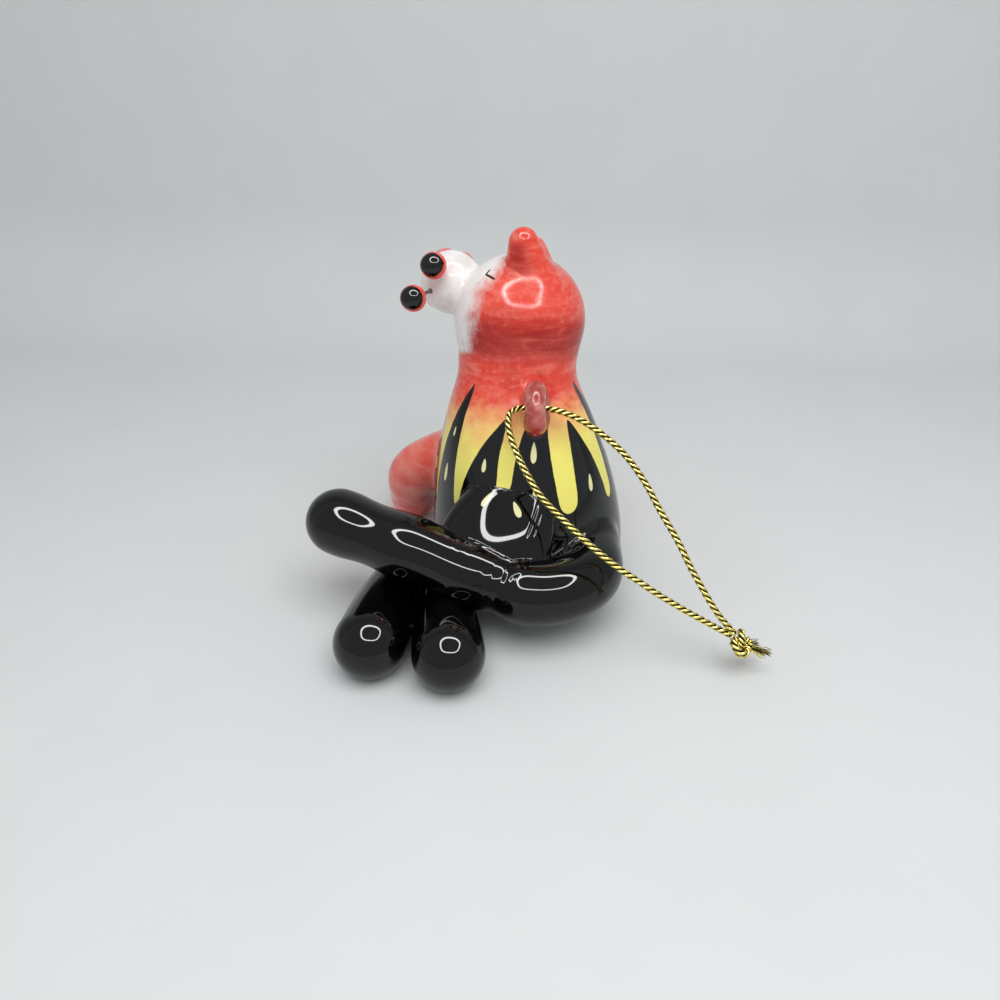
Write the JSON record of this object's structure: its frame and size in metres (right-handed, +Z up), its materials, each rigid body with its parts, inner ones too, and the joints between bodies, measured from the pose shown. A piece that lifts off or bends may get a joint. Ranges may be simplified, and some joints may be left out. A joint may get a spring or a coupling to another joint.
{
  "type": "clay cat christmas ornament",
  "caption": "Seated glazed clay cat ornament with its head turned aside, wire whiskers tipped with beads, and a looped gold cord through an eye on its back for hanging.",
  "frame": {"origin": "middle of the flat base under the torso, on the standing surface", "axes": "+Z up, -Y towards the back of the cat, +X to its right; the head is turned towards -X"},
  "size_m": [0.0885, 0.0844, 0.0731],
  "materials": {
    "red_glaze": "coral red glaze brushed on thinly, with black and yellow flame glaze on the torso, glossy",
    "black_glaze": "black glaze, glossy",
    "white_glaze": "white glaze, glossy",
    "pink_glaze": "pink glaze, glossy",
    "bead_glaze": "clay bead, black over coral red, glossy",
    "whisker_wire": "fired high-temperature wire, dull",
    "gold_cord": "braided metallic gold cord"
  },
  "bodies": {
    "cat": {"torso": "red_glaze", "head": "red_glaze", "left_ear": "red_glaze", "right_ear": "red_glaze", "left_upper_whisker": "whisker_wire", "left_upper_bead": "bead_glaze", "left_lower_whisker": "whisker_wire", "left_lower_bead": "bead_glaze", "right_upper_whisker": "whisker_wire", "right_upper_bead": "bead_glaze", "right_lower_whisker": "whisker_wire", "right_lower_bead": "bead_glaze", "muzzle": "white_glaze", "nose": "pink_glaze", "left_haunch": "black_glaze", "tail": "black_glaze", "right_hind_foot": "black_glaze", "left_hind_foot": "black_glaze", "left_front_leg": "red_glaze", "right_front_leg": "red_glaze", "hanging_eye": "red_glaze"},
    "hanging_cord": {"cord_loop": "gold_cord", "cord_knot": "gold_cord", "cord_end_a": "gold_cord", "cord_end_b": "gold_cord"}
  },
  "joints": [
    {"name": "cord_swing", "type": "hinge", "parent": "cat", "child": "hanging_cord", "pos_m": [-0.00021, -0.01134, 0.04304], "axis": [-0.9962, 0.064, -0.059], "range_deg": [0, 150]}
  ]
}
